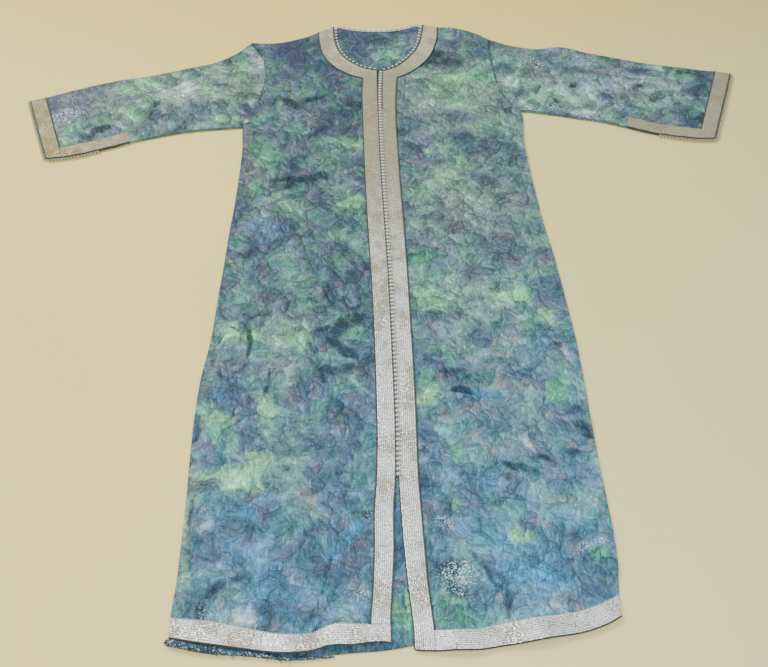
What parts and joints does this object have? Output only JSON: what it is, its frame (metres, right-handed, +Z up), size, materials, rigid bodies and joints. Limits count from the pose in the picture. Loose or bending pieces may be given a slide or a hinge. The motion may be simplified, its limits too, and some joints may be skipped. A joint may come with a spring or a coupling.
{
  "type": "moroccan kaftan laid flat",
  "caption": "Long front-opening Moroccan kaftan in blue-green brocade laid flat face up, with silver ribbon bands, looped edgings and a close row of knot buttons down to a hem slit.",
  "frame": {"origin": "centre of the laid-out garment's bounding box, on the surface that it lies on", "axes": "+X across the garment towards the sleeve at the right of the picture, +Y from the hem to the neck, +Z up from the surface, out of the front"},
  "size_m": [1.4502, 1.417, 0.0118],
  "materials": {
    "brocade": "blue-green dyed brocade with a fine metallic thread",
    "ribbon": "ribbed silver metallic ribbon",
    "cord": "pale silk cord"
  },
  "bodies": {
    "root": {"back": "brocade", "front_left": "brocade", "front_right": "brocade", "sleeve_left": "brocade", "sleeve_right": "brocade", "neck_band_left": "ribbon", "neck_band_right": "ribbon", "front_band_left": "ribbon", "front_band_right": "ribbon", "hem_band_left": "ribbon", "hem_band_right": "ribbon", "cuff_band_left": "ribbon", "cuff_band_right": "ribbon", "neck_edging_left": "cord", "neck_edging_right": "cord", "neck_edging_back": "cord", "cuff_edging_left": "cord", "cuff_edging_right": "cord", "button_row": "cord"}
  },
  "joints": []
}
